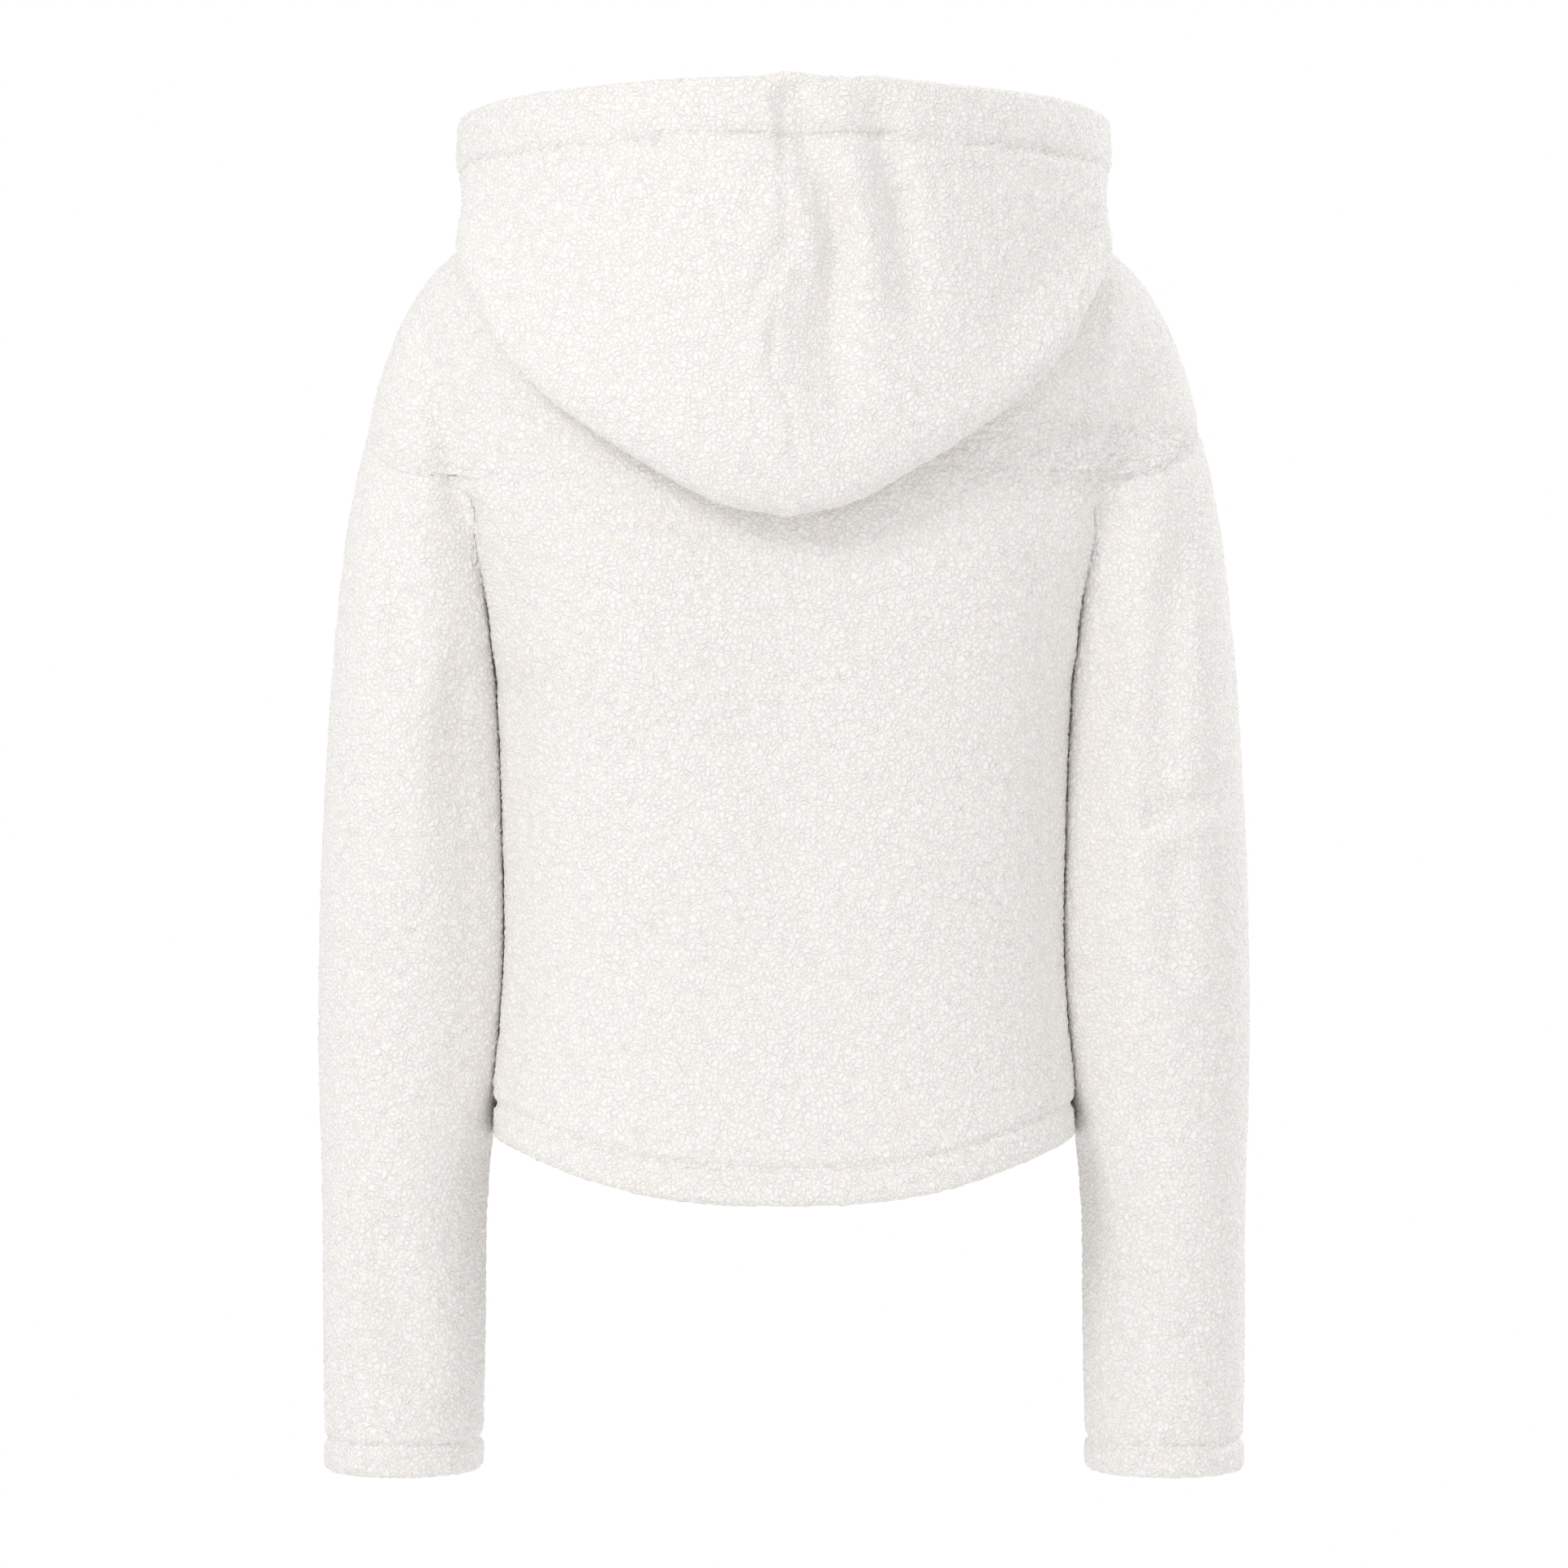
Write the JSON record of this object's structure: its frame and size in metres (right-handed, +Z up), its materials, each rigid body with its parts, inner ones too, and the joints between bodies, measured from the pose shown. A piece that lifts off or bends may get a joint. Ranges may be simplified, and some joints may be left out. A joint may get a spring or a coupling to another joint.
{
  "type": "teddy zip-up hoodie",
  "caption": "Teddy fleece zip-up hoodie with dropped shoulders, long sleeves and its hood down, filled out as when worn, with a pull tab that swings on the zip.",
  "frame": {"origin": "between the shoulders at the neck, where the wearer's neck and shoulders hold the garment", "axes": "+Z up, the wearer faces -Y, the wearer's left is +X"},
  "size_m": [0.5048, 0.283, 0.7374],
  "materials": {
    "fleece": "nubbly cream-white teddy fleece",
    "zip_tape": "woven tape",
    "zip_metal": "satin silver"
  },
  "bodies": {
    "hoodie": {"back": "fleece", "front_left": "fleece", "front_right": "fleece", "sleeve_left": "fleece", "sleeve_right": "fleece", "hood_left": "fleece", "hood_right": "fleece", "zip_tape_left": "zip_tape", "zip_tape_right": "zip_tape", "zip_chain": "zip_metal", "zip_box": "zip_metal", "zip_slider": "zip_metal"},
    "zip_pull": {"zip_pull": "zip_metal"}
  },
  "joints": [
    {"name": "pull_swing", "type": "hinge", "parent": "hoodie", "child": "zip_pull", "pos_m": [0, -0.10351, -0.05412], "axis": [-1, 0, 0], "range_deg": [0, 140]}
  ]
}
